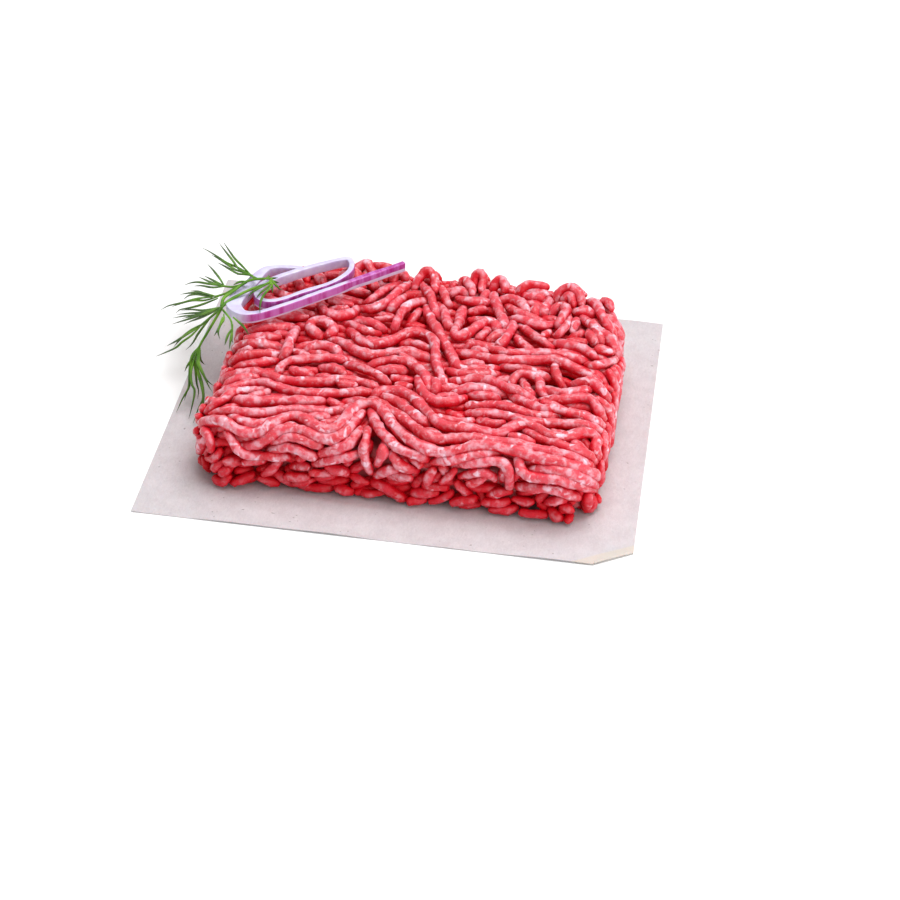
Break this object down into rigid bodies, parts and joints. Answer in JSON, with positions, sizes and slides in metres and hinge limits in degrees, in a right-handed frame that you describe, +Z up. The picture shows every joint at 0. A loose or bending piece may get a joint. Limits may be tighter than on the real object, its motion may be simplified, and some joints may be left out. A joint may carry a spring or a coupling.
{
  "type": "block of minced meat on paper",
  "caption": "Rectangular block of raw minced meat in loose wavy strands on a sheet of greaseproof paper, topped with red onion rings and a dill sprig.",
  "frame": {"origin": "middle of the paper's underside, on the surface that it lies on", "axes": "+X along the long front side of the block, +Y towards its back, +Z up"},
  "size_m": [0.2179, 0.1765, 0.0438],
  "materials": {
    "greaseproof_paper": "thin, faintly mottled, silky greaseproof paper",
    "raw_mince": "moist raw mince, salmon red with pale flecks of fat",
    "red_onion": "wet cut onion, lilac white with a purple skin",
    "dill": "fresh soft green herb"
  },
  "bodies": {
    "root": {"paper": "greaseproof_paper", "mince": "raw_mince", "onion_ring_front": "red_onion", "onion_ring_back": "red_onion", "dill_sprig": "dill"}
  },
  "joints": []
}
